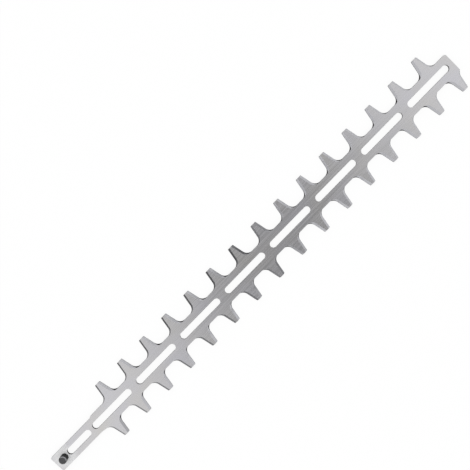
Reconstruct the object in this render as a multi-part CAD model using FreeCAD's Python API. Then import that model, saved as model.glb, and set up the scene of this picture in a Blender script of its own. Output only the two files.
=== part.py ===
import FreeCAD, Part

import math
import os
from enum import IntEnum

# One reciprocating blade of a hedge trimmer, in millimetres: a flat steel plate and its drive pin.
# The flat face, on which the blade slides, is z = 0, and the pin stands up from the tail.
# The pin's axis is the origin, +X runs to the tip, and the long row of teeth is on the -Y side.

# Plate
PLATE_THICKNESS = 2.5
OVERALL_WIDTH = 53.3  # over the tips of both rows of teeth
BODY_WIDTH = 19.6  # between the roots of both rows
TAIL_OVERHANG = 10.4  # from the pin's axis to the tail end
TAIL_CORNER_RADIUS = 1.4
TIP_BRIDGE = 5.4  # metal left between the last slot and the tip end
TIP_CORNER_RADIUS = 1.8

# Shoulder, where the tail bar widens to the body
SHOULDER_STEP = 1.2  # on each side
SHOULDER_TO_TOOTH = 15.2  # from where the bar starts to widen to the first tooth's middle
SHOULDER_SLOPE_SHORT_ROW = 20.0  # degrees
SHOULDER_SLOPE_LONG_ROW = 12.0  # degrees

# Guide slots
SLOT_COUNT = 8  # long slots
SLOT_WIDTH = 7.0
SLOT_BRIDGE = 9.0  # metal left between two long slots
FIRST_SLOT_X = 65.0  # from the pin's axis to the middle of the first long slot
SHORT_SLOT_BRIDGE = 4.0  # metal left between the short slot and the first long one
PIN_BRIDGE = 1.35  # metal left between the pin and the short slot

# Teeth
TOOTH_PITCH = 30.0
TOOTH_TIP_WIDTH = 6.3
TOOTH_CORNER_RADIUS = 0.6
FLANK_ANGLE = 11.1  # degrees, of each flank from the tooth's middle line
ROOT_RADIUS = 6.6
TOOTH_LEAD = 7.3  # by which the long row's first tooth stands short of the first long slot's middle

# Ground flanks: the edge that cuts is on the flat face, below an upright land
BEVEL_WIDTH = 1.9  # square to the flank, seen from above
EDGE_LAND = 0.4

# Drive pin
PIN_DIAMETER = 7.5
PIN_HEIGHT = 8.1  # above the plate
PIN_CHAMFER = 0.8
PIN_SEAT = 0.75  # width of the shoulder that sits on the plate round the pin's spigot

# Two teeth of a row stand over each long slot, and the short row has one tooth fewer
SLOT_PITCH = 2 * TOOTH_PITCH
SLOT_LENGTH = SLOT_PITCH - SLOT_BRIDGE
LONG_ROW_TEETH = 2 * SLOT_COUNT
SHORT_ROW_TEETH = LONG_ROW_TEETH - 1
FIRST_LONG_ROW_TOOTH_X = FIRST_SLOT_X - TOOTH_LEAD
FIRST_SHORT_ROW_TOOTH_X = FIRST_LONG_ROW_TOOTH_X + TOOTH_PITCH / 2

ROOT_Y = BODY_WIDTH / 2
TIP_Y = OVERALL_WIDTH / 2
TAIL_Y = ROOT_Y - SHOULDER_STEP
SHOULDER_X = FIRST_LONG_ROW_TOOTH_X - SHOULDER_TO_TOOTH
FIRST_SLOT_START_X = FIRST_SLOT_X - SLOT_LENGTH / 2
LAST_SLOT_END_X = FIRST_SLOT_X + (SLOT_COUNT - 1) * SLOT_PITCH + SLOT_LENGTH / 2
TIP_X = LAST_SLOT_END_X + TIP_BRIDGE

FLANK_LEAN = math.tan(math.radians(FLANK_ANGLE))
PIN_RADIUS = PIN_DIAMETER / 2
SPIGOT_RADIUS = PIN_RADIUS - PIN_SEAT
OVERCUT = PLATE_THICKNESS  # what the cutting shapes run past the metal


class Row(IntEnum):
    """The two rows of teeth, each as the sign of Y on its side of the blade."""

    LONG = -1
    SHORT = 1


def rounded_face(corners, z):
    """Flat face inside a closed outline of (x, y, radius) corners, at the height z."""
    points = [FreeCAD.Vector(x, y, z) for x, y, radius in corners]
    bends = []
    for i, (x, y, radius) in enumerate(corners):
        corner = points[i]
        back = (points[i - 1] - corner).normalize()
        ahead = (points[(i + 1) % len(points)] - corner).normalize()
        half_angle = back.getAngle(ahead) / 2
        trim = radius / math.tan(half_angle)
        inward = (back + ahead).normalize()
        middle = corner + inward * (radius / math.sin(half_angle) - radius)
        bends.append((corner + back * trim, middle, corner + ahead * trim))
    edges = []
    for i, (start, middle, end) in enumerate(bends):
        edges.append(Part.makeLine(bends[i - 1][2], start))
        if corners[i][2] > 0:
            edges.append(Part.Arc(start, middle, end).toShape())
    return Part.Face(Part.Wire(edges))


def half_tooth(y):
    """Half the width of a tooth at the distance y from the blade's middle line."""
    return TOOTH_TIP_WIDTH / 2 + (TIP_Y - y) * FLANK_LEAN


def tooth_positions(first_x, count):
    """Middles of a row of teeth along the blade."""
    return [first_x + i * TOOTH_PITCH for i in range(count)]


def tooth_corners(tooth_x, row):
    """The four corners of a tooth, from its tail side to its tip side."""
    return [
        (tooth_x - half_tooth(ROOT_Y), row * ROOT_Y, ROOT_RADIUS),
        (tooth_x - half_tooth(TIP_Y), row * TIP_Y, TOOTH_CORNER_RADIUS),
        (tooth_x + half_tooth(TIP_Y), row * TIP_Y, TOOTH_CORNER_RADIUS),
        (tooth_x + half_tooth(ROOT_Y), row * ROOT_Y, ROOT_RADIUS),
    ]


def first_root_corner():
    """Corner where the shoulder's slope on the long row's side meets the first tooth's flank."""
    slope = math.tan(math.radians(SHOULDER_SLOPE_LONG_ROW))
    flank_x = FIRST_LONG_ROW_TOOTH_X - half_tooth(TAIL_Y)
    y = TAIL_Y + slope * (flank_x - SHOULDER_X) / (1 - slope * FLANK_LEAN)
    x = flank_x + FLANK_LEAN * (y - TAIL_Y)
    return x, Row.LONG * y, ROOT_RADIUS


def blank(long_row, short_row):
    """The plate's outline as a solid, run past the tip end so that the last gullet is whole there."""
    run_past_x = max(long_row[-1], short_row[-1]) + 2 * TOOTH_PITCH
    shoulder_end_x = SHOULDER_X + SHOULDER_STEP / math.tan(math.radians(SHOULDER_SLOPE_SHORT_ROW))
    corners = [(-TAIL_OVERHANG, Row.LONG * TAIL_Y, TAIL_CORNER_RADIUS), (SHOULDER_X, Row.LONG * TAIL_Y, 0)]
    corners.append(first_root_corner())
    corners.extend(tooth_corners(long_row[0], Row.LONG)[1:])
    for tooth_x in long_row[1:]:
        corners.extend(tooth_corners(tooth_x, Row.LONG))
    corners.extend([(run_past_x, Row.LONG * ROOT_Y, 0), (run_past_x, Row.SHORT * ROOT_Y, 0)])
    for tooth_x in reversed(short_row):
        corners.extend(reversed(tooth_corners(tooth_x, Row.SHORT)))
    corners.extend([(shoulder_end_x, Row.SHORT * ROOT_Y, 0), (SHOULDER_X, Row.SHORT * TAIL_Y, 0)])
    corners.append((-TAIL_OVERHANG, Row.SHORT * TAIL_Y, TAIL_CORNER_RADIUS))
    return rounded_face(corners, 0).extrude(FreeCAD.Vector(0, 0, PLATE_THICKNESS))


def trim_tip(plate):
    """The plate cut off square at its tip end, with both corners rounded."""
    waste_length = plate.BoundBox.XMax - TIP_X + OVERCUT
    waste = Part.makeBox(waste_length, OVERALL_WIDTH, PLATE_THICKNESS, FreeCAD.Vector(TIP_X, -TIP_Y, 0))
    plate = plate.cut(waste)
    end_face = max(plate.Faces, key=lambda face: face.CenterOfMass.x)
    upright_edges = [edge for edge in end_face.Edges if edge.BoundBox.ZLength > PLATE_THICKNESS / 2]
    return plate.makeFillet(TIP_CORNER_RADIUS, upright_edges)


def slot(start_x, end_x):
    """A guide slot with full round ends, as the metal to take out."""
    radius = SLOT_WIDTH / 2
    upper_tail = FreeCAD.Vector(start_x + radius, radius, -OVERCUT)
    lower_tail = FreeCAD.Vector(start_x + radius, -radius, -OVERCUT)
    lower_tip = FreeCAD.Vector(end_x - radius, -radius, -OVERCUT)
    upper_tip = FreeCAD.Vector(end_x - radius, radius, -OVERCUT)
    edges = [
        Part.makeLine(upper_tip, upper_tail),
        Part.Arc(upper_tail, FreeCAD.Vector(start_x, 0, -OVERCUT), lower_tail).toShape(),
        Part.makeLine(lower_tail, lower_tip),
        Part.Arc(lower_tip, FreeCAD.Vector(end_x, 0, -OVERCUT), upper_tip).toShape(),
    ]
    return Part.Face(Part.Wire(edges)).extrude(FreeCAD.Vector(0, 0, PLATE_THICKNESS + 2 * OVERCUT))


def guide_slots():
    """The short slot beside the pin and the row of long slots."""
    slots = [slot(PIN_RADIUS + PIN_BRIDGE, FIRST_SLOT_START_X - SHORT_SLOT_BRIDGE)]
    for i in range(SLOT_COUNT):
        start_x = FIRST_SLOT_START_X + i * SLOT_PITCH
        slots.append(slot(start_x, start_x + SLOT_LENGTH))
    return slots


def flank_grind(tooth_x, row, side):
    """The metal ground off one flank: the gullet beside it, leaning over the tooth as it rises.

    The lean is along the blade, so the bevel dies out round the root fillet and the root stays upright.
    """
    outer_y = TIP_Y + OVERCUT
    far_x = tooth_x + side * TOOTH_PITCH
    gullet = rounded_face(
        [
            (tooth_x + side * half_tooth(outer_y), row * outer_y, 0),
            (tooth_x + side * half_tooth(ROOT_Y), row * ROOT_Y, ROOT_RADIUS),
            (far_x - side * half_tooth(ROOT_Y), row * ROOT_Y, ROOT_RADIUS),
            (far_x - side * half_tooth(outer_y), row * outer_y, 0),
        ],
        EDGE_LAND,
    )
    lean = BEVEL_WIDTH / math.cos(math.radians(FLANK_ANGLE)) / (PLATE_THICKNESS - EDGE_LAND)
    rise = PLATE_THICKNESS - EDGE_LAND + OVERCUT
    return gullet.extrude(FreeCAD.Vector(-side * lean * rise, 0, rise))


def blade_plate():
    """The plate with its teeth, ground flanks, guide slots and the hole for the pin's spigot."""
    long_row = tooth_positions(FIRST_LONG_ROW_TOOTH_X, LONG_ROW_TEETH)
    short_row = tooth_positions(FIRST_SHORT_ROW_TOOTH_X, SHORT_ROW_TEETH)
    plate = trim_tip(blank(long_row, short_row))
    spigot_hole = Part.makeCylinder(SPIGOT_RADIUS, PLATE_THICKNESS)
    plate = plate.cut(guide_slots() + [spigot_hole])
    for row, teeth in ((Row.LONG, long_row), (Row.SHORT, short_row)):
        for side in (-1, 1):
            plate = plate.cut([flank_grind(tooth_x, row, side) for tooth_x in teeth])
    return plate


def drive_pin():
    """The turned pin: a spigot flush with the flat face, a shoulder on the plate and a chamfered top."""
    top = PLATE_THICKNESS + PIN_HEIGHT
    profile = [
        (0, 0),
        (SPIGOT_RADIUS, 0),
        (SPIGOT_RADIUS, PLATE_THICKNESS),
        (PIN_RADIUS, PLATE_THICKNESS),
        (PIN_RADIUS, top - PIN_CHAMFER),
        (PIN_RADIUS - PIN_CHAMFER, top),
        (0, top),
        (0, 0),
    ]
    outline = Part.makePolygon([FreeCAD.Vector(r, 0, z) for r, z in profile])
    return Part.Face(outline).revolve(FreeCAD.Vector(0, 0, 0), FreeCAD.Vector(0, 0, 1), 360)


os.makedirs("parts", exist_ok=True)
for name, shape in (("blade_plate", blade_plate()), ("drive_pin", drive_pin())):
    shape.exportStep("parts/" + name + ".step")
    print(name, len(shape.Solids), "solid,", round(shape.Volume, 1), "mm3, valid:", shape.isValid())
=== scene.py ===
import logging
import math
from dataclasses import dataclass
from enum import Enum, IntEnum

import bmesh
import bpy
from mathutils import Euler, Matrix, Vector


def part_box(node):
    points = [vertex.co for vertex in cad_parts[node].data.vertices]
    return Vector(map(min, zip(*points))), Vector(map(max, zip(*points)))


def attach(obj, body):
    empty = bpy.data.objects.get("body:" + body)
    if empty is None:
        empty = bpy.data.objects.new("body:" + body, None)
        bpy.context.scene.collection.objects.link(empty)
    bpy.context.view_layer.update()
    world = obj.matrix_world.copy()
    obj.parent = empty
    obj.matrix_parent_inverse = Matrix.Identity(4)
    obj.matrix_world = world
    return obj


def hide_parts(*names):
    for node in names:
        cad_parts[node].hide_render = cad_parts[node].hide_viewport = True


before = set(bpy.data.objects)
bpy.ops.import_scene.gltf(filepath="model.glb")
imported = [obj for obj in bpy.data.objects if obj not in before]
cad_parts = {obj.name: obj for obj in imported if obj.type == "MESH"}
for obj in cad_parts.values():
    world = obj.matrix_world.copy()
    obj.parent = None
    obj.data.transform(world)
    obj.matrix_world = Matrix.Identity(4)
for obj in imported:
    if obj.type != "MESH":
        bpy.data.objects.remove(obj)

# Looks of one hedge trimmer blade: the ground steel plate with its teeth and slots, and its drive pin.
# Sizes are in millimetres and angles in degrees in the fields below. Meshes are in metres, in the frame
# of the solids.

MM = 0.001
LOG = logging.getLogger("hedge_trimmer_blade")

# What most of a noise pattern lies between, out of 0 to 1.
NOISE_LOW = 0.25
NOISE_HIGH = 0.75
# Decimals of a millimetre that count in a size read from the solids, which are in single precision.
SIZE_DECIMALS = 4

Point = tuple[float, float]
Outline = list[Point]
Tree = bpy.types.NodeTree
Socket = bpy.types.NodeSocket
Material = bpy.types.Material


class Finish(IntEnum):
    """Surfaces of the plate, stored on each face as the attribute that picks its material."""

    GROUND_FACE = 0
    BLANKED_EDGE = 1
    GROUND_FLANK = 2


class Turning(IntEnum):
    """Surfaces of the pin, as the index of each one's material."""

    SIDE = 0
    CHAMFER = 1
    END = 2


class Streak(Enum):
    """Direction in which the marks of a tool run, as axes of the part, or of the pin's radius and turn."""

    ALONG_BLADE = (1, 0, 0)
    ACROSS_FLANK = (1, 0, 1)
    UPRIGHT = (0, 0, 1)
    ROUND_PIN = (0, 1, 0)


def linear_colour(hex_colour: str) -> tuple[float, float, float, float]:
    """Turn an sRGB colour into the linear one that shaders take.

    Args:
        hex_colour: Six hex digits after a hash sign.

    Returns:
        Linear red, green and blue, and an alpha of 1.
    """
    channels = [int(hex_colour[i : i + 2], 16) / 255 for i in (1, 3, 5)]
    linear = [c / 12.92 if c <= 0.04045 else ((c + 0.055) / 1.055) ** 2.4 for c in channels]
    return (*linear, 1.0)


def add_node(
    tree: Tree,
    kind: str,
    inputs: dict[str | int, object] | None = None,
    **settings: object,
) -> bpy.types.Node:
    """Add a node to a tree with its settings, values and links.

    Args:
        tree: Node tree that gets the node.
        kind: Blender's name of the node's type.
        inputs: Input sockets by name or index, each with a value or with the output socket to link.
        settings: Properties of the node itself.

    Returns:
        The new node.
    """
    node = tree.nodes.new(kind)
    for name, value in settings.items():
        setattr(node, name, value)
    for key, value in (inputs or {}).items():
        if isinstance(value, Socket):
            tree.links.new(value, node.inputs[key])
        else:
            node.inputs[key].default_value = value
    return node


def new_material(name: str) -> tuple[Material, Tree]:
    """Make a material with an empty node tree.

    Args:
        name: Name of the material.

    Returns:
        The material and its tree.
    """
    material = bpy.data.materials.new(name)
    material.use_nodes = True
    material.node_tree.nodes.clear()
    return material, material.node_tree


def millimetres(length: float) -> float:
    """A length of the solids, in metres, as a size in millimetres."""
    return round(length / MM, SIZE_DECIMALS)


def arc(centre: Point, radius: float, start: float, end: float, steps: int) -> Outline:
    """Points along an arc, both ends included.

    Args:
        centre: Centre of the arc.
        radius: Radius of the arc.
        start: Angle of the first point in degrees.
        end: Angle of the last point in degrees.
        steps: Number of chords.

    Returns:
        The points in order.
    """
    angles = [math.radians(start + (end - start) * i / steps) for i in range(steps + 1)]
    return [(centre[0] + radius * math.cos(a), centre[1] + radius * math.sin(a)) for a in angles]


def inset(outline: Outline, distance: float, closed: bool, furthest: float = 2.0) -> Outline:
    """Move an outline to its left, into the metal.

    Args:
        outline: Points with the metal on their left.
        distance: How far each side moves.
        closed: Whether the last point joins the first.
        furthest: How many times that distance the point of a sharp corner moves at most.

    Returns:
        The moved points.
    """
    count = len(outline)
    moved = []
    for i, (x, y) in enumerate(outline):
        before = outline[i - 1] if closed or i > 0 else None
        after = outline[(i + 1) % count] if closed or i < count - 1 else None
        ahead = Vector((after[0] - x, after[1] - y)).normalized() if after else None
        back = Vector((x - before[0], y - before[1])).normalized() if before else None
        ahead, back = ahead or back, back or ahead
        left = Vector((-ahead.y - back.y, ahead.x + back.x)).normalized()
        reach = distance / max(left.dot(Vector((-ahead.y, ahead.x))), 1 / furthest)
        moved.append((x + left.x * reach, y + left.y * reach))
    return moved


def blend(start: Point, end: Point, share: float) -> Point:
    """A point part of the way from one point to another."""
    return start[0] + (end[0] - start[0]) * share, start[1] + (end[1] - start[1]) * share


@dataclass(frozen=True)
class WorkedSteel:
    """A steel surface with the fine parallel marks of how it was made.

    The marks vary both its colour and its gloss a little, and slow patches of another tint lie over it, as
    on steel that has been oiled and handled. It has the gleam of bare metal, unless scale or oxide dulls it.
    """

    name: str
    colour: str
    patch_colour: str
    roughness: tuple[float, float]
    streak: Streak
    streak_width: float
    streak_length: float
    streak_contrast: float
    streak_detail: float = 3.0
    streak_grain: float = 0.6
    patch_size: float = 30.0
    patch_detail: float = 1.0
    relief: float = 0.01
    metallic: float = 1.0
    specular: float = 0.5

    def build(self) -> Material:
        """Make the material.

        Returns:
            The new material.
        """
        material, tree = new_material(self.name)
        place = add_node(tree, "ShaderNodeTexCoord").outputs["Object"]
        steps = [1 / (MM * (self.streak_length if axis else self.streak_width)) for axis in self.streak.value]
        along = self.pin_place(tree, place) if self.streak is Streak.ROUND_PIN else place
        stretched = add_node(tree, "ShaderNodeMapping", {"Vector": along, "Scale": steps})
        pattern = {
            "Vector": stretched.outputs["Vector"],
            "Scale": 1.0,
            "Detail": self.streak_detail,
            "Roughness": self.streak_grain,
        }
        marks = add_node(tree, "ShaderNodeTexNoise", pattern).outputs["Fac"]
        tint = self.tint(tree, place)
        gloss = self.gloss(tree, place, marks)
        metallic = self.metal_share(tree, place)
        return self.finish_surface(material, tree, marks, tint, gloss, metallic)

    def tint(self, tree: Tree, place: Socket) -> Socket:
        """Colour below the marks.

        Args:
            tree: Node tree of the material.
            place: Place on the part.

        Returns:
            Colour of the steel with its patches.
        """
        both = {
            "Factor": self.patches(tree, place),
            "A": linear_colour(self.colour),
            "B": linear_colour(self.patch_colour),
        }
        return add_node(tree, "ShaderNodeMix", both, data_type="RGBA").outputs["Result"]

    def patches(self, tree: Tree, place: Socket) -> Socket:
        """Where the patch colour shows, from 0 to 1.

        Args:
            tree: Node tree of the material.
            place: Place on the part.

        Returns:
            Share of the patch colour.
        """
        cloud = {"Vector": place, "Scale": 1 / (MM * self.patch_size), "Detail": self.patch_detail}
        return add_node(tree, "ShaderNodeTexNoise", cloud).outputs["Fac"]

    def gloss(self, tree: Tree, place: Socket, marks: Socket) -> Socket:
        """Roughness of the surface.

        Args:
            tree: Node tree of the material.
            place: Place on the part, which this version doesn't use.
            marks: Height of the marks, from 0 to 1.

        Returns:
            Roughness for the shader.
        """
        spread = {
            "Value": marks,
            "From Min": NOISE_LOW,
            "From Max": NOISE_HIGH,
            "To Min": self.roughness[0],
            "To Max": self.roughness[1],
        }
        return add_node(tree, "ShaderNodeMapRange", spread).outputs["Result"]

    def metal_share(self, tree: Tree, place: Socket) -> float | Socket:
        """How metallic the surface looks, the same all over."""
        return self.metallic

    def pin_place(self, tree: Tree, place: Socket) -> Socket:
        """Turn a place into its distance from the pin's axis and its height.

        Args:
            tree: Node tree of the material.
            place: Place on the part, whose origin is on the pin's axis.

        Returns:
            A vector of the radius, nothing, and the height.
        """
        axes = add_node(tree, "ShaderNodeSeparateXYZ", {"Vector": place}).outputs
        flat = add_node(tree, "ShaderNodeCombineXYZ", {"X": axes["X"], "Y": axes["Y"]})
        radius = add_node(tree, "ShaderNodeVectorMath", {0: flat.outputs["Vector"]}, operation="LENGTH")
        turned = {"X": radius.outputs["Value"], "Z": axes["Z"]}
        return add_node(tree, "ShaderNodeCombineXYZ", turned).outputs["Vector"]

    def finish_surface(
        self,
        material: Material,
        tree: Tree,
        marks: Socket,
        tint: Socket,
        gloss: Socket,
        metallic: float | Socket,
    ) -> Material:
        """Join the marks and the tint to a shader.

        Args:
            material: Material that is being made.
            tree: Its node tree.
            marks: Height of the marks, from 0 to 1.
            tint: Colour below the marks.
            gloss: Roughness of the surface.
            metallic: How metallic the surface looks.

        Returns:
            The same material.
        """
        shade = add_node(
            tree,
            "ShaderNodeMapRange",
            {
                "Value": marks,
                "From Min": NOISE_LOW,
                "From Max": NOISE_HIGH,
                "To Min": 1 - self.streak_contrast,
                "To Max": 1 + self.streak_contrast,
            },
        )
        colour = add_node(
            tree,
            "ShaderNodeVectorMath",
            {0: tint, 1: shade.outputs["Result"]},
            operation="MULTIPLY",
        )
        relief = add_node(
            tree,
            "ShaderNodeBump",
            {"Height": marks, "Distance": self.relief * MM, "Strength": 1.0},
        )
        shader = add_node(
            tree,
            "ShaderNodeBsdfPrincipled",
            {
                "Base Color": colour.outputs["Vector"],
                "Metallic": metallic,
                "Specular IOR Level": self.specular,
                "Roughness": gloss,
                "Normal": relief.outputs["Normal"],
            },
        )
        add_node(tree, "ShaderNodeOutputMaterial", {"Surface": shader.outputs["BSDF"]})
        return material


@dataclass(frozen=True)
class PinnedSteel(WorkedSteel):
    """Ground steel, dull round the pin and painted pale there, as painted light over the pin's reflection."""

    # Painted light: the pale colour round the pin hides the pin's reflection and shadow on the plate.
    painted_light_colour: str = "#E6E6E7"
    dull_roughness: float = 0.5
    dull_metallic: float = 0.1
    dull_radius: float = 8.0
    clear_radius: float = 14.0

    def ring(self, tree: Tree, place: Socket) -> Socket:
        """Where the steel is dull and painted pale, from 0 to 1.

        Args:
            tree: Node tree of the material.
            place: Place on the part, whose origin is on the pin's axis.

        Returns:
            Share of the dull finish and the painted light.
        """
        away = add_node(tree, "ShaderNodeVectorMath", {0: place}, operation="LENGTH").outputs["Value"]
        fade = {"Value": away, "From Min": self.clear_radius * MM, "From Max": self.dull_radius * MM}
        return add_node(tree, "ShaderNodeMapRange", fade).outputs["Result"]

    def tint(self, tree: Tree, place: Socket) -> Socket:
        """Colour below the marks, painted paler round the pin as painted light.

        Args:
            tree: Node tree of the material.
            place: Place on the part.

        Returns:
            Colour of the steel with its patches and its ring.
        """
        # Painted light: the ring mixes in the pale colour over the pin's reflection and shadow.
        both = {
            "Factor": self.ring(tree, place),
            "A": super().tint(tree, place),
            "B": linear_colour(self.painted_light_colour),
        }
        return add_node(tree, "ShaderNodeMix", both, data_type="RGBA").outputs["Result"]

    def gloss(self, tree: Tree, place: Socket, marks: Socket) -> Socket:
        """Roughness of the surface, higher round the pin.

        Args:
            tree: Node tree of the material.
            place: Place on the part.
            marks: Height of the marks, from 0 to 1.

        Returns:
            Roughness for the shader.
        """
        both = {
            "Factor": self.ring(tree, place),
            "A": super().gloss(tree, place, marks),
            "B": self.dull_roughness,
        }
        return add_node(tree, "ShaderNodeMix", both).outputs["Result"]

    def metal_share(self, tree: Tree, place: Socket) -> Socket:
        """How metallic the surface looks, less round the pin.

        Args:
            tree: Node tree of the material.
            place: Place on the part.

        Returns:
            Metallic value for the shader.
        """
        both = {"Factor": self.ring(tree, place), "A": self.metallic, "B": self.dull_metallic}
        return add_node(tree, "ShaderNodeMix", both).outputs["Result"]


@dataclass(frozen=True)
class PaintedHighlightSteel(WorkedSteel):
    """Oxidised steel, paler on one side towards the blade's tip, where a highlight is painted into its
    colour.
    """

    highlight_angle: float = 15.0
    highlight_start: float = 0.6
    highlight_end: float = 2.2

    def patches(self, tree: Tree, place: Socket) -> Socket:
        """Where the painted highlight shows, from 0 to 1.

        Args:
            tree: Node tree of the material.
            place: Place on the part.

        Returns:
            Share of the painted highlight's colour.
        """
        # Painted highlight: the chamfer is painted pale on the side that this angle points to.
        angle = math.radians(self.highlight_angle)
        highlight_side = {0: place, 1: (math.cos(angle), math.sin(angle), 0.0)}
        reach = add_node(tree, "ShaderNodeVectorMath", highlight_side, operation="DOT_PRODUCT").outputs["Value"]
        span = {"Value": reach, "From Min": self.highlight_start * MM, "From Max": self.highlight_end * MM}
        return add_node(tree, "ShaderNodeMapRange", span).outputs["Result"]


@dataclass(frozen=True)
class PaintedShadeSteel(WorkedSteel):
    """Ground steel with painted shade: dark reflections painted into its colour.

    The painted shade lies on the faces towards the tail, over the half nearer the tail, and on the faces
    towards the tip, about the blade's middle and on the first tooth. It is weaker on the long row of teeth
    than on the short one.
    """

    painted_shade_end: float = 255.0
    clear_start: float = 322.0
    painted_shade_middle: float = 265.0
    painted_shade_reach: float = 45.0
    painted_shade_share: tuple[float, float] = (0.8, 1.0)
    row_offset: float = 18.0
    first_tooth_end: float = 66.0
    first_tooth_clear: float = 72.0
    first_tooth_share: float = 0.24
    painted_shade_lean: tuple[float, float] = (0.3, 0.5)

    def patches(self, tree: Tree, place: Socket) -> Socket:
        """Where the painted shade lies, from 0 to 1.

        Args:
            tree: Node tree of the material.
            place: Place on the part.

        Returns:
            Share of the painted shade's colour.
        """
        # Painted shade: flanks are darkened by which way they face and where they lie along the blade, as a
        # dark reflection.
        facing = add_node(tree, "ShaderNodeTexCoord").outputs["Normal"]
        lean = add_node(tree, "ShaderNodeSeparateXYZ", {"Vector": facing}).outputs["X"]
        axes = add_node(tree, "ShaderNodeSeparateXYZ", {"Vector": place}).outputs
        along = axes["X"]
        centred = {0: along, 1: self.painted_shade_middle * MM}
        away = add_node(tree, "ShaderNodeMath", centred, operation="SUBTRACT").outputs["Value"]
        away = add_node(tree, "ShaderNodeMath", {0: away}, operation="ABSOLUTE").outputs["Value"]
        rows = {
            "Value": axes["Y"],
            "From Min": -self.row_offset * MM,
            "From Max": self.row_offset * MM,
            "To Min": self.painted_shade_share[0],
            "To Max": self.painted_shade_share[1],
        }
        share = add_node(tree, "ShaderNodeMapRange", rows).outputs["Result"]
        painted_shade = 0.0
        for side, reach, clear, full, most in (
            (-1, along, self.clear_start, self.painted_shade_end, share),
            (1, away, self.painted_shade_reach, 0.0, share),
            (1, along, self.first_tooth_clear, self.first_tooth_end, self.first_tooth_share),
        ):
            leaning = {
                "Value": lean,
                "From Min": side * self.painted_shade_lean[0],
                "From Max": side * self.painted_shade_lean[1],
            }
            covered = {"Value": reach, "From Min": clear * MM, "From Max": full * MM, "To Max": most}
            added = {
                0: add_node(tree, "ShaderNodeMapRange", leaning).outputs["Result"],
                1: add_node(tree, "ShaderNodeMapRange", covered).outputs["Result"],
                2: painted_shade,
            }
            painted_shade = add_node(tree, "ShaderNodeMath", added, operation="MULTIPLY_ADD").outputs["Value"]
        return painted_shade


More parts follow.
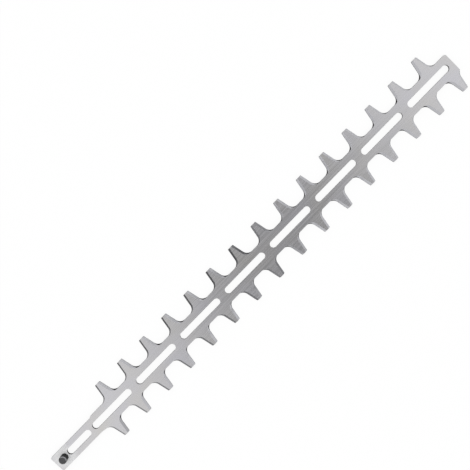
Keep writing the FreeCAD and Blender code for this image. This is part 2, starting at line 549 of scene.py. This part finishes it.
@dataclass
class BladePlate:
    """The flat plate: tail bar, body with guide slots, and two staggered rows of ground teeth."""

    thickness: float
    overall_width: float
    tail_overhang: float
    body_width: float = 19.6
    tail_corner_radius: float = 1.4
    tip_bridge: float = 5.4
    tip_corner_radius: float = 1.8
    shoulder_step: float = 1.2
    shoulder_to_tooth: float = 15.2
    shoulder_slope_short_row: float = 20.0
    shoulder_slope_long_row: float = 12.0
    slot_count: int = 8
    slot_width: float = 7.0
    slot_bridge: float = 9.0
    first_slot_x: float = 65.0
    short_slot_start: float = 5.1
    short_slot_bridge: float = 4.0
    spigot_radius: float = 3.0
    tooth_pitch: float = 30.0
    tooth_tip_width: float = 6.3
    tooth_corner_radius: float = 0.6
    ground_corner_radius: float = 0.15
    flank_angle: float = 11.1
    root_radius: float = 6.6
    tooth_lead: float = 7.3
    bevel_width: float = 1.9
    edge_land: float = 0.4
    run_out_start: float = 1.0
    run_out_end: float = 0.4
    upright_limit: float = 2.0
    edge_break: float = 0.08
    weld_distance: float = 0.008
    fillet_steps: int = 24
    corner_steps: int = 6
    slot_end_steps: int = 32
    smooth_angle: float = 15.0

    def __post_init__(self) -> None:
        """Work out the places that follow from the sizes."""
        self.root_y = self.body_width / 2
        self.tip_y = self.overall_width / 2
        self.tail_y = self.root_y - self.shoulder_step
        self.slot_pitch = 2 * self.tooth_pitch
        self.slot_length = self.slot_pitch - self.slot_bridge
        self.first_long_tooth_x = self.first_slot_x - self.tooth_lead
        self.first_short_tooth_x = self.first_long_tooth_x + self.tooth_pitch / 2
        self.long_row_teeth = 2 * self.slot_count
        self.short_row_teeth = self.long_row_teeth - 1
        self.shoulder_x = self.first_long_tooth_x - self.shoulder_to_tooth
        self.first_slot_start = self.first_slot_x - self.slot_length / 2
        last_slot_x = self.first_slot_x + (self.slot_count - 1) * self.slot_pitch
        self.tip_x = last_slot_x + self.slot_length / 2 + self.tip_bridge
        self.last_long_tooth_x = self.first_long_tooth_x + (self.long_row_teeth - 1) * self.tooth_pitch
        self.last_short_tooth_x = self.first_short_tooth_x + (self.short_row_teeth - 1) * self.tooth_pitch
        self.lean = self.bevel_width / math.cos(math.radians(self.flank_angle))

    @classmethod
    def from_solid(cls) -> "BladePlate":
        """Take the outer sizes from the plate's solid.

        Returns:
            A plate as thick, as wide and as long behind the pin as the solid.
        """
        low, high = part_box("blade_plate")
        return cls(
            thickness=millimetres(high.z - low.z),
            overall_width=millimetres(high.y - low.y),
            tail_overhang=millimetres(-low.x),
        )

    def half_tooth(self, y: float) -> float:
        """Half a tooth's width at the distance y from the blade's middle line."""
        return self.tooth_tip_width / 2 + (self.tip_y - y) * math.tan(math.radians(self.flank_angle))

    def tooth_corner(self, lean: float) -> Outline:
        """Half of a tooth's tip, from its middle to the start of the flank on its +X side.

        Args:
            lean: How far the flank has been ground back at this height.

        Returns:
            Points from the tooth's middle line, with the tooth at x = 0 and its tip towards +Y.
        """
        radius = self.ground_corner_radius if lean else self.tooth_corner_radius
        trim = radius * math.tan(math.radians(90 - self.flank_angle) / 2)
        centre = (self.half_tooth(self.tip_y) - lean - trim, self.tip_y - radius)
        return [(0.0, self.tip_y)] + arc(centre, radius, 90, self.flank_angle, self.corner_steps)

    def root_centre(self, lean: float) -> Point:
        """Centre of the round root beside the +X flank of a tooth at x = 0."""
        trim = self.root_radius * math.tan(math.radians(90 - self.flank_angle) / 2)
        return self.half_tooth(self.root_y) - lean + trim, self.root_y + self.root_radius

    def flank(self, lean: float) -> Outline:
        """The +X half of a tooth at x = 0, from the middle of its tip to the flat of the root."""
        root = arc(self.root_centre(lean), self.root_radius, 180 + self.flank_angle, 270, self.fillet_steps)
        return self.tooth_corner(lean) + root

    def gullet(self, lean: float) -> Outline:
        """The gap between two teeth of the +Y row, about x = 0.

        Args:
            lean: How far the flanks have been ground back at this height.

        Returns:
            Points from the middle of one tooth's tip to the middle of the next one's.
        """
        half = self.tooth_pitch / 2
        flank = self.flank(lean)
        return [(half - x, y) for x, y in flank] + [(x - half, y) for x, y in reversed(flank)]

    def first_root(self, lean: float) -> Outline:
        """Round root between the shoulder's slope and the first tooth of the long row.

        Args:
            lean: How far the flanks have been ground back at this height.

        Returns:
            Points from the slope to the flank, drawn on +Y.
        """
        slope_angle = math.radians(self.shoulder_slope_long_row)
        slope = math.tan(slope_angle)
        lean_of_flank = math.tan(math.radians(self.flank_angle))
        flank_x = self.first_long_tooth_x - self.half_tooth(self.tail_y)
        corner_y = self.tail_y + slope * (flank_x - self.shoulder_x) / (1 - slope * lean_of_flank)
        corner_x = flank_x + lean_of_flank * (corner_y - self.tail_y)
        turn = math.radians(90 - self.flank_angle) - slope_angle
        trim = self.root_radius * math.tan(turn / 2)
        centre = (
            corner_x - trim * math.cos(slope_angle) - self.root_radius * math.sin(slope_angle) + lean,
            corner_y - trim * math.sin(slope_angle) + self.root_radius * math.cos(slope_angle),
        )
        start = self.shoulder_slope_long_row - 90
        return arc(centre, self.root_radius, start, -self.flank_angle, self.fillet_steps)

    def tail(self, lean: float) -> Outline:
        """Outline of the tail.

        Args:
            lean: How far the flanks have been ground back at this height.

        Returns:
            Points from the first tooth of the short row round to the first of the long row.
        """
        points = [(self.first_short_tooth_x - x, y) for x, y in self.flank(lean)]
        slope = math.tan(math.radians(self.shoulder_slope_short_row))
        points.append((self.shoulder_x + self.shoulder_step / slope, self.root_y))
        points.append((self.shoulder_x, self.tail_y))
        corner_x = self.tail_corner_radius - self.tail_overhang
        corner_y = self.tail_y - self.tail_corner_radius
        points += arc((corner_x, corner_y), self.tail_corner_radius, 90, 180, self.corner_steps)
        points += arc((corner_x, -corner_y), self.tail_corner_radius, 180, 270, self.corner_steps)
        points.append((self.shoulder_x, -self.tail_y))
        points += [(x, -y) for x, y in self.first_root(lean)]
        points += [(self.first_long_tooth_x - x, -y) for x, y in reversed(self.tooth_corner(lean))]
        return points

    def tip_root(self, lean: float) -> Outline:
        """Round root of the last tooth of the long row.

        Args:
            lean: How far the flanks have been ground back at this height.

        Returns:
            Points from the flank to the tip end, drawn on +Y, as many at every height.
        """
        centre = self.root_centre(lean)
        centre = (self.last_long_tooth_x + centre[0], centre[1])
        start = 180 + self.flank_angle
        if lean:
            end = 360 - math.degrees(math.acos((self.tip_x - centre[0]) / self.root_radius))
            return arc(centre, self.root_radius, start, end, self.fillet_steps + self.corner_steps + 1)
        corner_x = self.tip_x - self.tip_corner_radius
        apart = self.root_radius + self.tip_corner_radius
        turn = math.degrees(math.acos((centre[0] - corner_x) / apart))
        corner = (corner_x, centre[1] - apart * math.sin(math.radians(turn)))
        root = arc(centre, self.root_radius, start, 180 + turn, self.fillet_steps)
        return root + arc(corner, self.tip_corner_radius, turn, 0, self.corner_steps)

    def tip(self, lean: float) -> Outline:
        """Outline of the tip end.

        Args:
            lean: How far the flanks have been ground back at this height.

        Returns:
            Points from the last tooth of the long row round to the last of the short row.
        """
        points = [(self.last_long_tooth_x + x, -y) for x, y in self.tooth_corner(lean)]
        points += [(x, -y) for x, y in self.tip_root(lean)]
        corner = (self.tip_x - self.tip_corner_radius, self.root_y - self.tip_corner_radius)
        points += arc(corner, self.tip_corner_radius, 0, 90, self.corner_steps)
        points += [(self.last_short_tooth_x + x, y) for x, y in reversed(self.flank(lean))]
        return points

    def slot(self, start: float, end: float) -> Outline:
        """Outline of a guide slot with full round ends.

        Args:
            start: End of the slot towards the tail.
            end: End of the slot towards the tip.

        Returns:
            Points with the metal on their left.
        """
        radius = self.slot_width / 2
        points = arc((end - radius, 0.0), radius, 90, -90, self.slot_end_steps)
        return points + arc((start + radius, 0.0), radius, 270, 90, self.slot_end_steps)

    def spigot_hole(self) -> Outline:
        """Outline of the hole for the pin, with the metal on its left."""
        return arc((0.0, 0.0), self.spigot_radius, 360, 0, 2 * self.slot_end_steps)[:-1]

    def run_out(self, low: Outline, high: Outline, closed: bool) -> list[float]:
        """How high the ground face ends above the land, where the wheel runs out of a root.

        Args:
            low: Outline at the flat face.
            high: Outline at the other face, with as many points.
            closed: Whether the outline is a loop.

        Returns:
            For each point, 0 where the whole wall is ground, as on a flank, up to 1 where none of it is.
        """
        shares = []
        for foot, top, inner in zip(low, high, inset(low, self.bevel_width, closed)):
            into_metal = (Vector(inner) - Vector(foot)).normalized()
            ground = (Vector(top) - Vector(foot)).dot(into_metal) / self.bevel_width
            share = (self.run_out_start - ground) / (self.run_out_start - self.run_out_end)
            shares.append(min(max(share, 0.0), 1.0))
        return shares

    def add_wall(self, work: bmesh.types.BMesh, low: Outline, high: Outline, closed: bool) -> None:
        """Add the plate's edge along an outline, with both its rims a little broken.

        Args:
            work: Mesh that gets the wall.
            low: Outline at the flat face.
            high: Outline at the other face, with as many points.
            closed: Whether the outline is a loop.
        """
        finish = work.faces.layers.int.get("finish") or work.faces.layers.int.new("finish")
        rim = self.edge_break
        height = self.thickness - self.edge_land
        lowest = rim
        highest = height - 2 * rim
        rises = [lowest + share * (highest - lowest) for share in self.run_out(low, high, closed)]
        levels = [
            [(x, y, 0.0) for x, y in inset(low, rim, closed)],
            [(x, y, rim) for x, y in low],
            [(x, y, self.edge_land) for x, y in low],
            [(*blend(a, b, rise / height), self.edge_land + rise) for a, b, rise in zip(low, high, rises)],
            [(*blend(a, b, 1 - rim / height), self.thickness - rim) for a, b in zip(low, high)],
            [(x, y, self.thickness) for x, y in inset(high, rim, closed)],
        ]
        bands = [
            Finish.GROUND_FACE,
            Finish.BLANKED_EDGE,
            Finish.BLANKED_EDGE,
            Finish.GROUND_FLANK,
            Finish.GROUND_FLANK,
        ]
        leans = [(Vector(a) - Vector(b)).length > rim for a, b in zip(low, high)]
        rings = [[work.verts.new(Vector(point) * MM) for point in level] for level in levels]
        count = len(low)
        for below, above, band in zip(rings, rings[1:], bands):
            for i in range(count if closed else count - 1):
                j = (i + 1) % count
                face = work.faces.new((below[i], below[j], above[j], above[i]))
                face.normal_update()
                upright = abs(face.normal.z) < math.sin(math.radians(self.upright_limit))
                if band is Finish.GROUND_FLANK and (upright or not (leans[i] and leans[j])):
                    face[finish] = Finish.GROUND_FACE if above is rings[-1] else Finish.BLANKED_EDGE
                else:
                    face[finish] = band

    def wall_object(self, name: str, walls: list[tuple[Outline, Outline, bool]]) -> bpy.types.Object:
        """Make an object of walls for the node tree to repeat.

        Args:
            name: Name of the object.
            walls: Low outline, high outline and whether it is a loop, for each wall.

        Returns:
            The new object, which isn't in the scene.
        """
        work = bmesh.new()
        for low, high, closed in walls:
            self.add_wall(work, low, high, closed)
        mesh = bpy.data.meshes.new(name)
        work.to_mesh(mesh)
        work.free()
        return bpy.data.objects.new(name, mesh)

    def repeat_tree(self) -> Tree:
        """Node tree that repeats gullets and slots, joins them to the ends and closes both faces.

        Returns:
            The new tree.
        """
        tree = bpy.data.node_groups.new("blade_from_walls", "GeometryNodeTree")
        sockets = {
            "Ends": "Geometry",
            "Gullet": "Object",
            "Guide Slot": "Object",
            "Thickness": "Float",
            "Tooth Pitch": "Float",
            "First Long Row Gullet": "Float",
            "Long Row Gullets": "Int",
            "First Short Row Gullet": "Float",
            "Short Row Gullets": "Int",
            "Slot Pitch": "Float",
            "First Slot": "Float",
            "Slots": "Int",
            "Weld Distance": "Float",
            **{worked.name: "Material" for worked in Finish},
        }
        for name, kind in sockets.items():
            tree.interface.new_socket(name, in_out="INPUT", socket_type="NodeSocket" + kind)
        tree.interface.new_socket("Plate", in_out="OUTPUT", socket_type="NodeSocketGeometry")
        given = add_node(tree, "NodeGroupInput").outputs

        def row(shape: str, first: str, pitch: str, count: str, turn: float) -> Socket:
            """Repeat an object along X.

            Args:
                shape: Input that holds the object.
                first: Input that holds the first copy's place.
                pitch: Input that holds the step to the next copy.
                count: Input that holds the number of copies.
                turn: Angle in radians by which each copy is turned about Z.

            Returns:
                The copies as instances.
            """
            source = add_node(tree, "GeometryNodeObjectInfo", {"Object": given[shape]})
            start = add_node(tree, "ShaderNodeCombineXYZ", {"X": given[first]})
            step = add_node(tree, "ShaderNodeCombineXYZ", {"X": given[pitch]})
            line = add_node(
                tree,
                "GeometryNodeMeshLine",
                {"Count": given[count], "Start Location": start.outputs[0], "Offset": step.outputs[0]},
                mode="OFFSET",
            )
            copies = add_node(
                tree,
                "GeometryNodeInstanceOnPoints",
                {
                    "Points": line.outputs["Mesh"],
                    "Instance": source.outputs["Geometry"],
                    "Rotation": Euler((0, 0, turn)),
                },
            )
            return copies.outputs["Instances"]

        walls = add_node(tree, "GeometryNodeJoinGeometry")
        half_turn = math.pi
        for part in (
            given["Ends"],
            row("Gullet", "First Long Row Gullet", "Tooth Pitch", "Long Row Gullets", half_turn),
            row("Gullet", "First Short Row Gullet", "Tooth Pitch", "Short Row Gullets", 0.0),
            row("Guide Slot", "First Slot", "Slot Pitch", "Slots", 0.0),
        ):
            tree.links.new(part, walls.inputs["Geometry"])
        real = add_node(tree, "GeometryNodeRealizeInstances", {"Geometry": walls.outputs["Geometry"]})
        weld = {"Distance": given["Weld Distance"]}
        edge = add_node(tree, "GeometryNodeMergeByDistance", {"Geometry": real.outputs["Geometry"], **weld})
        solid = add_node(tree, "GeometryNodeJoinGeometry", {"Geometry": edge.outputs["Geometry"]})

        # A comparison takes fractions in its inputs 0 and 1, and whole numbers in 2 and 3.
        neighbours = add_node(tree, "GeometryNodeInputMeshEdgeNeighbors")
        open_edge = add_node(
            tree,
            "FunctionNodeCompare",
            {2: neighbours.outputs["Face Count"], 3: 1},
            data_type="INT",
            operation="EQUAL",
        )
        position = add_node(tree, "GeometryNodeInputPosition")
        height = add_node(tree, "ShaderNodeSeparateXYZ", {"Vector": position.outputs["Position"]})
        middle = add_node(tree, "ShaderNodeMath", {0: given["Thickness"], 1: 0.5}, operation="MULTIPLY")
        above = add_node(
            tree,
            "FunctionNodeCompare",
            {0: height.outputs["Z"], 1: middle.outputs["Value"]},
            data_type="FLOAT",
            operation="GREATER_THAN",
        )
        for upper in (True, False):
            rim = add_node(
                tree,
                "FunctionNodeBooleanMath",
                {0: open_edge.outputs["Result"], 1: above.outputs["Result"]},
                operation="AND" if upper else "NIMPLY",
            )
            loops = add_node(
                tree,
                "GeometryNodeMeshToCurve",
                {"Mesh": edge.outputs["Geometry"], "Selection": rim.outputs["Boolean"]},
            )
            cap = add_node(tree, "GeometryNodeFillCurve", {"Curve": loops.outputs["Curve"]}).outputs["Mesh"]
            if upper:
                lift = add_node(tree, "ShaderNodeCombineXYZ", {"Z": given["Thickness"]})
                moved = {"Geometry": cap, "Translation": lift.outputs["Vector"]}
                cap = add_node(tree, "GeometryNodeTransform", moved).outputs["Geometry"]
            tree.links.new(cap, solid.inputs["Geometry"])
        whole = add_node(tree, "GeometryNodeMergeByDistance", {"Geometry": solid.outputs["Geometry"], **weld})
        shape = whole.outputs["Geometry"]
        mark = add_node(tree, "GeometryNodeInputNamedAttribute", {"Name": "finish"}, data_type="INT")
        for worked in Finish:
            chosen = add_node(
                tree,
                "FunctionNodeCompare",
                {2: mark.outputs["Attribute"], 3: int(worked)},
                data_type="INT",
                operation="EQUAL",
            )
            dressed = {
                "Geometry": shape,
                "Selection": chosen.outputs["Result"],
                "Material": given[worked.name],
            }
            shape = add_node(tree, "GeometryNodeSetMaterial", dressed).outputs["Geometry"]
        add_node(tree, "NodeGroupOutput", {"Plate": shape})
        return tree

    def build(self, finishes: dict[Finish, Material]) -> bpy.types.Object:
        """Make the plate.

        Args:
            finishes: Material for each surface.

        Returns:
            The plate's object, at the origin.
        """
        gullet = self.wall_object("gullet", [(self.gullet(0.0), self.gullet(self.lean), False)])
        middle = self.slot(-self.slot_length / 2, self.slot_length / 2)
        guide_slot = self.wall_object("guide_slot", [(middle, middle, True)])
        short_slot = self.slot(self.short_slot_start, self.first_slot_start - self.short_slot_bridge)
        hole = self.spigot_hole()
        ends = self.wall_object(
            "blade_ends",
            [
                (self.tail(0.0), self.tail(self.lean), False),
                (self.tip(0.0), self.tip(self.lean), False),
                (short_slot, short_slot, True),
                (hole, hole, True),
            ],
        )
        bpy.context.scene.collection.objects.link(ends)
        tree = self.repeat_tree()
        modifier = ends.modifiers.new("blade_from_walls", "NODES")
        modifier.node_group = tree
        values = {
            "Gullet": gullet,
            "Guide Slot": guide_slot,
            "Thickness": self.thickness * MM,
            "Tooth Pitch": self.tooth_pitch * MM,
            "First Long Row Gullet": (self.first_long_tooth_x + self.tooth_pitch / 2) * MM,
            "Long Row Gullets": self.long_row_teeth - 1,
            "First Short Row Gullet": (self.first_short_tooth_x + self.tooth_pitch / 2) * MM,
            "Short Row Gullets": self.short_row_teeth - 1,
            "Slot Pitch": self.slot_pitch * MM,
            "First Slot": self.first_slot_x * MM,
            "Slots": self.slot_count,
            "Weld Distance": self.weld_distance * MM,
            **{worked.name: finishes[worked] for worked in Finish},
        }
        for item in tree.interface.items_tree:
            if item.name in values:
                modifier[item.identifier] = values[item.name]
        depsgraph = bpy.context.evaluated_depsgraph_get()
        mesh = bpy.data.meshes.new_from_object(ends.evaluated_get(depsgraph))
        for source in (ends, gullet, guide_slot):
            bpy.data.objects.remove(source)
        mesh.name = "ground_blade"
        # The walls had no material of their own, which leaves an empty slot.
        unused = [slot for slot, material in enumerate(mesh.materials) if material is None]
        for slot in reversed(unused):
            mesh.materials.pop(index=slot)
        work = bmesh.new()
        work.from_mesh(mesh)
        bmesh.ops.recalc_face_normals(work, faces=work.faces)
        work.to_mesh(mesh)
        work.free()
        mesh.shade_smooth()
        mesh.set_sharp_from_angle(angle=math.radians(self.smooth_angle))
        plate = bpy.data.objects.new("ground_blade", mesh)
        bpy.context.scene.collection.objects.link(plate)
        return plate


@dataclass
class DrivePin:
    """The turned pin: a spigot in the plate, a shoulder on it and a chamfered free end."""

    plate: BladePlate
    radius: float
    top: float
    chamfer: float = 0.8
    steps: int = 96

    @classmethod
    def from_solid(cls, plate: BladePlate) -> "DrivePin":
        """Take the outer sizes from the pin's solid.

        Args:
            plate: Plate that the pin is set in.

        Returns:
            A pin as thick and as high as the solid, whose axis is at the origin.
        """
        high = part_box("drive_pin")[1]
        return cls(plate=plate, radius=millimetres(high.x), top=millimetres(high.z))

    def profile(self) -> list[tuple[float, float, Turning]]:
        """Edges of the pin, from its flush end up.

        Returns:
            Radius and height of each edge, and the surface above it.
        """
        seat = self.plate.thickness
        spigot = self.plate.spigot_radius
        rim = self.plate.edge_break
        return [
            (spigot - rim, 0.0, Turning.SIDE),
            (spigot, rim, Turning.SIDE),
            (spigot, seat, Turning.SIDE),
            (self.radius - rim, seat, Turning.SIDE),
            (self.radius, seat + rim, Turning.SIDE),
            (self.radius, self.top - self.chamfer, Turning.CHAMFER),
            (self.radius - self.chamfer, self.top, Turning.END),
        ]

    def build(self, finishes: dict[Turning, Material]) -> bpy.types.Object:
        """Make the pin.

        Args:
            finishes: Material for each surface.

        Returns:
            The pin's object, at the origin.
        """
        work = bmesh.new()
        circle = arc((0.0, 0.0), 1.0, 0, 360, self.steps)[:-1]
        rings = []
        surfaces = []
        for radius, height, surface in self.profile():
            rings.append([work.verts.new((x * radius * MM, y * radius * MM, height * MM)) for x, y in circle])
            surfaces.append(surface)
        for low, high, surface in zip(rings, rings[1:], surfaces):
            for i in range(self.steps):
                j = (i + 1) % self.steps
                face = work.faces.new((low[i], low[j], high[j], high[i]))
                face.material_index = surface
        work.faces.new(reversed(rings[0])).material_index = Turning.END
        work.faces.new(rings[-1]).material_index = Turning.END
        bmesh.ops.recalc_face_normals(work, faces=work.faces)
        mesh = bpy.data.meshes.new("turned_pin")
        work.to_mesh(mesh)
        work.free()
        for surface in Turning:
            mesh.materials.append(finishes[surface])
        mesh.shade_smooth()
        mesh.set_sharp_from_angle(angle=math.radians(self.plate.smooth_angle))
        pin = bpy.data.objects.new("turned_pin", mesh)
        bpy.context.scene.collection.objects.link(pin)
        return pin


@dataclass
class Studio:
    """White paper floor, a soft sky that is darker overhead, and the camera above."""

    white: str = "#FFFFFF"
    floor_size: float = 12000.0
    floor_gap: float = 0.2
    floor_glow: float = 0.9
    overhead_light: float = 0.11
    side_light: float = 1.02
    overhead_angle: float = 0.0
    side_angle: float = 17.2
    overhead_lean: tuple[float, float] = (-0.3, -9.0)
    lens: float = 50.0
    nearest: float = 10.0
    camera_place: tuple[float, float, float] = (292.066, 68.941, 605.672)
    camera_turn: tuple[float, float, float] = (-4.3737, -0.6888, -45.755)

    def add_floor(self) -> None:
        """Add a white floor that glows to the eye and to reflections, and still takes a soft shadow."""
        material, tree = new_material("white_paper")
        white = linear_colour(self.white)
        paper = add_node(tree, "ShaderNodeBsdfDiffuse", {"Color": white})
        glow = add_node(tree, "ShaderNodeEmission", {"Color": white, "Strength": 1.0})
        path = add_node(tree, "ShaderNodeLightPath").outputs
        seen = add_node(
            tree,
            "ShaderNodeMath",
            {0: path["Is Camera Ray"], 1: path["Is Glossy Ray"]},
            operation="MAXIMUM",
        )
        seen = add_node(
            tree,
            "ShaderNodeMath",
            {0: seen.outputs["Value"], 1: path["Is Transmission Ray"]},
            operation="MAXIMUM",
        )
        share = add_node(
            tree,
            "ShaderNodeMath",
            {0: seen.outputs["Value"], 1: self.floor_glow},
            operation="MULTIPLY",
        )
        mixed = add_node(
            tree,
            "ShaderNodeMixShader",
            {0: share.outputs["Value"], 1: paper.outputs["BSDF"], 2: glow.outputs["Emission"]},
        )
        add_node(tree, "ShaderNodeOutputMaterial", {"Surface": mixed.outputs["Shader"]})
        half = self.floor_size / 2 * MM
        mesh = bpy.data.meshes.new("floor")
        corners = [(-half, -half), (half, -half), (half, half), (-half, half)]
        mesh.from_pydata([(x, y, -self.floor_gap * MM) for x, y in corners], [], [(0, 1, 2, 3)])
        mesh.materials.append(material)
        floor = bpy.data.objects.new("floor", mesh)
        bpy.context.scene.collection.objects.link(floor)

    def add_sky(self) -> None:
        """Light the scene from all round, less from overhead, leaning a little towards the long row."""
        world = bpy.data.worlds.new("studio")
        world.use_nodes = True
        tree = world.node_tree
        tree.nodes.clear()
        direction = add_node(tree, "ShaderNodeTexCoord").outputs["Generated"]
        lean = [math.tan(math.radians(angle)) for angle in self.overhead_lean]
        overhead = Vector((*lean, 1.0)).normalized()
        near = add_node(tree, "ShaderNodeVectorMath", {0: direction, 1: overhead}, operation="DOT_PRODUCT")
        level = add_node(
            tree,
            "ShaderNodeMapRange",
            {
                "Value": near.outputs["Value"],
                "From Min": math.cos(math.radians(self.side_angle)),
                "From Max": math.cos(math.radians(self.overhead_angle)),
                "To Min": self.side_light,
                "To Max": self.overhead_light,
            },
            interpolation_type="SMOOTHSTEP",
        )
        light = {"Color": linear_colour(self.white), "Strength": level.outputs["Result"]}
        sky = add_node(tree, "ShaderNodeBackground", light)
        add_node(tree, "ShaderNodeOutputWorld", {"Surface": sky.outputs["Background"]})
        bpy.context.scene.world = world

    def add_camera(self) -> None:
        """Put the camera over the blade, a little towards its short row, looking almost straight down."""
        data = bpy.data.cameras.new("camera")
        data.lens = self.lens
        data.clip_start = self.nearest * MM
        camera = bpy.data.objects.new("camera", data)
        camera.location = Vector(self.camera_place) * MM
        camera.rotation_euler = [math.radians(angle) for angle in self.camera_turn]
        bpy.context.scene.collection.objects.link(camera)
        bpy.context.scene.camera = camera

    def build(self) -> None:
        """Set up floor, light, camera and plain colour handling."""
        self.add_floor()
        self.add_sky()
        self.add_camera()
        bpy.context.scene.view_settings.view_transform = "Standard"


# The real tool marks of all these finishes are 0.1 mm apart or less, too fine to show in the render, so the
# streaks are drawn coarser.

# Plate faces: through-feed ground spring steel, a broad grey gleam with fine lines along the blade. Round
# the pin the steel is dull and less metallic, and painted pale as painted light over the pin's reflection and
# shadow.
GROUND_FACE = PinnedSteel(
    name="spring_steel_surface_ground",
    colour="#CBCBD3",
    patch_colour="#CDCBC7",
    roughness=(0.24, 0.32),
    streak=Streak.ALONG_BLADE,
    streak_width=0.7,
    streak_length=45.0,
    streak_contrast=0.05,
)

# Cut edges: blanked from strip, then hardened, so dark scale lies over upright shear marks.
BLANKED_EDGE = WorkedSteel(
    name="spring_steel_blanked_edge",
    colour="#242426",
    patch_colour="#2E2C2A",
    roughness=(0.38, 0.6),
    streak=Streak.UPRIGHT,
    streak_width=0.5,
    streak_length=6.0,
    streak_contrast=0.3,
    patch_size=12.0,
    metallic=0.0,
    specular=0.1,
)

# Ground flanks: hardened and wheel-ground, a little darker than the faces and marked across the edge, with
# painted shade on some of them: a dark reflection of the floor painted into their colour.
GROUND_FLANK = PaintedShadeSteel(
    name="hardened_steel_ground_flank",
    colour="#B8B8BC",
    # The patch colour is painted shade.
    patch_colour="#505052",
    roughness=(0.24, 0.34),
    streak=Streak.ACROSS_FLANK,
    streak_width=0.4,
    streak_length=10.0,
    streak_contrast=0.1,
)

# Pin side: turned and black-oxidised, near black with a dull sheen and faint rings.
PIN_SIDE = WorkedSteel(
    name="pin_steel_black_oxide",
    colour="#161617",
    patch_colour="#1B1B1A",
    roughness=(0.36, 0.5),
    streak=Streak.ROUND_PIN,
    streak_width=0.5,
    streak_length=1.0,
    streak_contrast=0.12,
    patch_size=6.0,
    metallic=0.0,
    specular=0.08,
)

# Pin chamfer: dark oxidised steel, with a painted highlight of pale steel on the side towards the blade's
# tip.
PIN_CHAMFER = PaintedHighlightSteel(
    name="pin_steel_chamfer_painted_highlight",
    colour="#444446",
    # The patch colour is a painted highlight.
    patch_colour="#8F8F92",
    roughness=(0.28, 0.4),
    streak=Streak.ROUND_PIN,
    streak_width=0.5,
    streak_length=1.0,
    streak_contrast=0.1,
    patch_size=4.0,
)

# Pin end: faced off on the lathe and oxidised, dark grey with rings.
PIN_END = WorkedSteel(
    name="pin_steel_faced_end",
    colour="#5C5C5F",
    patch_colour="#545454",
    roughness=(0.3, 0.45),
    streak=Streak.ROUND_PIN,
    streak_width=0.8,
    streak_length=1.0,
    streak_contrast=0.35,
    patch_size=3.0,
)


def main() -> None:
    """Build the blade, dress it and set up the studio around it."""
    logging.basicConfig(level=logging.INFO, format="%(name)s: %(message)s")
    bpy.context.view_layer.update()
    blade = BladePlate.from_solid()
    plate = blade.build(
        {
            Finish.GROUND_FACE: GROUND_FACE.build(),
            Finish.BLANKED_EDGE: BLANKED_EDGE.build(),
            Finish.GROUND_FLANK: GROUND_FLANK.build(),
        }
    )
    pin = DrivePin.from_solid(blade).build(
        {
            Turning.SIDE: PIN_SIDE.build(),
            Turning.CHAMFER: PIN_CHAMFER.build(),
            Turning.END: PIN_END.build(),
        }
    )
    for piece, node, slot in ((plate, "blade_plate", "plate_steel"), (pin, "drive_pin", "pin_steel")):
        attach(piece, "root")
        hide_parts(node)
        LOG.info("%s stands for %s with %d faces", piece.name, node, len(piece.data.polygons))
    Studio().build()


if __name__ == "__main__":
    main()
